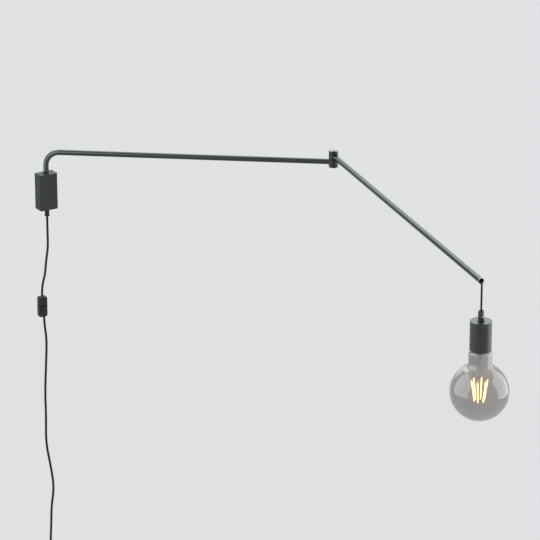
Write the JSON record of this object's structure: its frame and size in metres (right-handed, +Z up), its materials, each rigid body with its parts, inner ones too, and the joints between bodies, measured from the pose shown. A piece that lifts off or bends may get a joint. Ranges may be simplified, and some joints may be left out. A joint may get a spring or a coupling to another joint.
{
  "type": "articulating wall lamp",
  "caption": "Wall lamp with two jointed swing arms, a hanging holder with a smoked globe bulb, and a corded feed with an in-line switch and plug.",
  "frame": {"origin": "on the wall, at the middle of the wall box's back face", "axes": "+X out of the wall into the room, +Y along the wall, +Z up"},
  "size_m": [0.9957, 0.4337, 0.9068],
  "materials": {
    "satin_box_paint": "satin grey-black paint",
    "zinc_steel": "zinc-plated",
    "blackened_steel": "semi-gloss black over drawn tube",
    "matte_black_paint": "matte black",
    "polished_chrome": "polished",
    "machined_steel": "machined",
    "dark_bearing_plastic": "low-friction plastic",
    "satin_black_holder": "satin black",
    "black_gloss_grip": "high gloss black",
    "heat_proof_plastic": "moulded thermoset",
    "brass_parts": "plain",
    "nickel_pins": "nickel-plated",
    "black_glass_insulator": "glossy black glass",
    "smoked_glass": "smoked clear glass",
    "clear_stem_glass": "clear glass",
    "filament_phosphor": "amber coated filament",
    "filament_wire": "drawn wire",
    "black_cord_jacket": "smooth black jacket",
    "core_insulation": "coloured insulation",
    "black_moulded_plastic": "fine moulded texture",
    "rocker_plastic": "semi-gloss black",
    "tie_rubber": "soft black rubber"
  },
  "bodies": {
    "root": {"wall_plate": "zinc_steel", "box_cover": "satin_box_paint", "box_screws": "zinc_steel", "swivel_bush": "dark_bearing_plastic", "terminal_block": "heat_proof_plastic", "terminal_screws": "zinc_steel", "feed_lead": "black_cord_jacket", "feed_cores": "core_insulation", "lamp_cores": "core_insulation", "cord_gland": "black_moulded_plastic", "wall_cord_upper": "black_cord_jacket", "wall_cord_lower": "black_cord_jacket", "switch_front": "black_moulded_plastic", "switch_back": "black_moulded_plastic", "switch_screws": "zinc_steel", "switch_frame": "zinc_steel", "switch_contacts": "brass_parts", "cord_coil": "black_cord_jacket", "coil_tie": "tie_rubber", "plug_lead": "black_cord_jacket", "plug_body": "black_moulded_plastic", "plug_pins": "nickel_pins", "pin_sleeves": "black_moulded_plastic"},
    "inner_arm": {"arm_1_tube": "blackened_steel", "arm_1_lead": "black_cord_jacket", "swivel_spigot": "machined_steel", "swivel_washer": "zinc_steel", "swivel_nut": "zinc_steel", "elbow_lower": "matte_black_paint", "elbow_friction_washer": "dark_bearing_plastic", "elbow_cap": "polished_chrome", "elbow_wave_washer": "zinc_steel", "elbow_screw": "polished_chrome"},
    "outer_arm": {"elbow_upper": "matte_black_paint", "arm_2_tube": "blackened_steel", "arm_2_lead": "black_cord_jacket", "tip_bush": "polished_chrome"},
    "pendant": {"pendant_flex": "black_cord_jacket"},
    "lamp_holder": {"cord_grip": "black_gloss_grip", "grip_screw": "zinc_steel", "grip_nut": "zinc_steel", "holder_shell": "satin_black_holder", "socket_body": "heat_proof_plastic", "socket_thread": "brass_parts", "socket_contact": "brass_parts", "holder_cores": "core_insulation"},
    "bulb": {"bulb_cap": "brass_parts", "bulb_insulator": "black_glass_insulator", "bulb_contact": "brass_parts", "bulb_glass": "smoked_glass", "bulb_stem": "clear_stem_glass", "exhaust_tube": "clear_stem_glass", "filaments": "filament_phosphor", "filament_wires": "filament_wire", "filament_post": "filament_wire"},
    "rocker": {"switch_rocker": "rocker_plastic"}
  },
  "joints": [
    {"name": "wall_swivel", "type": "hinge", "parent": "root", "child": "inner_arm", "pos_m": [0.0105, 0, 0.0335], "axis": [0, 0, 1], "range_deg": [-138.5, 31.4]},
    {"name": "elbow", "type": "hinge", "parent": "inner_arm", "child": "outer_arm", "pos_m": [0.30749, 0.40224, 0.0764], "axis": [0, 0, 1], "range_deg": [-85.8, 214.2]},
    {"name": "pendant_swing", "type": "hinge", "parent": "outer_arm", "child": "pendant", "pos_m": [0.94822, 0.2821, 0.0735], "axis": [0.1843, 0.9829, 0], "range_deg": [-28, 28]},
    {"name": "holder_swing", "type": "hinge", "parent": "pendant", "child": "lamp_holder", "pos_m": [0.94822, 0.2821, 0.0308], "axis": [0.9829, -0.1843, 0], "range_deg": [-25, 25]},
    {"name": "bulb_removal", "type": "slide", "parent": "lamp_holder", "child": "bulb", "axis": [0, 0, -1], "range_m": [0, 0.03]},
    {"name": "switch_rocker_tilt", "type": "hinge", "parent": "root", "child": "rocker", "pos_m": [0.0127, -0.0134, -0.2152], "axis": [0, 1, 0], "range_deg": [-16, 0]}
  ]
}
